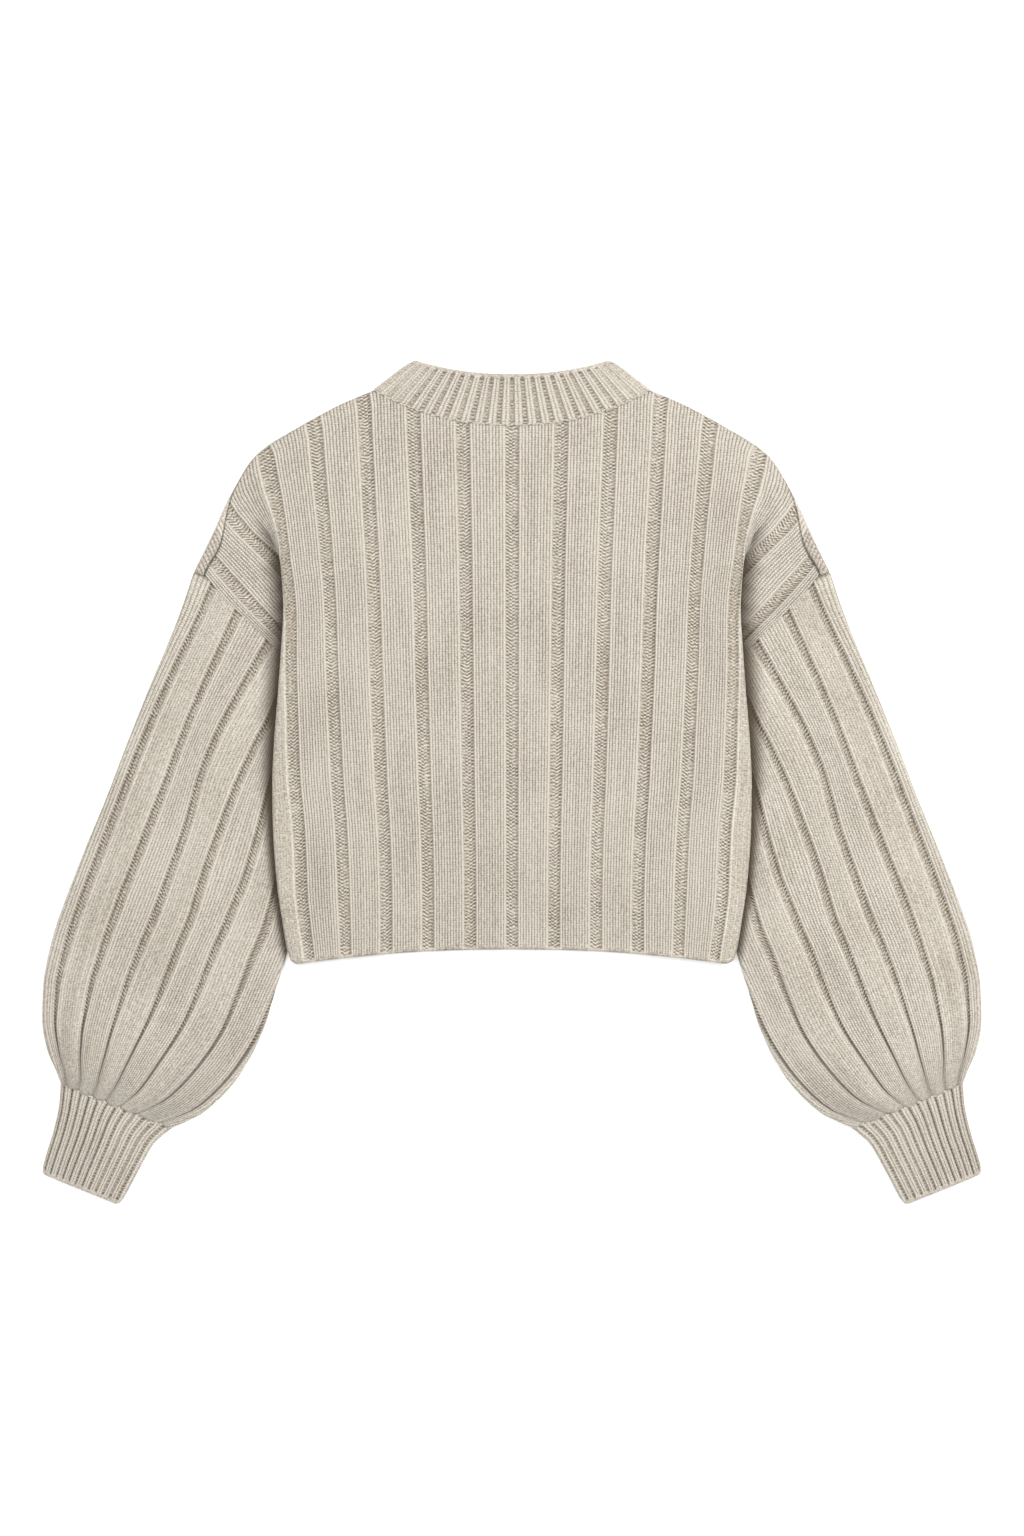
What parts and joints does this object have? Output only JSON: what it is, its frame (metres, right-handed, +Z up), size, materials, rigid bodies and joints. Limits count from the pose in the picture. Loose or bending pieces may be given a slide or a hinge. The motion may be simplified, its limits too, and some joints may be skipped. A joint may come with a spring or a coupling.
{
  "type": "cropped knit sweater",
  "caption": "Cropped wide-rib knit sweater with dropped shoulders, balloon sleeves, rib cuffs and a mock neck, laid flat with its back side up.",
  "frame": {"origin": "on the surface that the sweater lies on, under the middle of the laid-out garment", "axes": "+X towards the wearer's right, across the laid-out sleeves; +Y from the hem to the neck; +Z up, out of the sweater's back"},
  "size_m": [0.8088, 0.7256, 0.0137],
  "materials": {
    "body_knit": "matt oatmeal wool, wide flat ribs of plain wales divided by narrow sunken purl columns",
    "rib_knit": "the same yarn in a narrow rib"
  },
  "bodies": {
    "root": {"back": "body_knit", "front": "body_knit", "neckband": "rib_knit", "sleeve_left": "body_knit", "sleeve_right": "body_knit", "cuff_left": "rib_knit", "cuff_right": "rib_knit"}
  },
  "joints": []
}
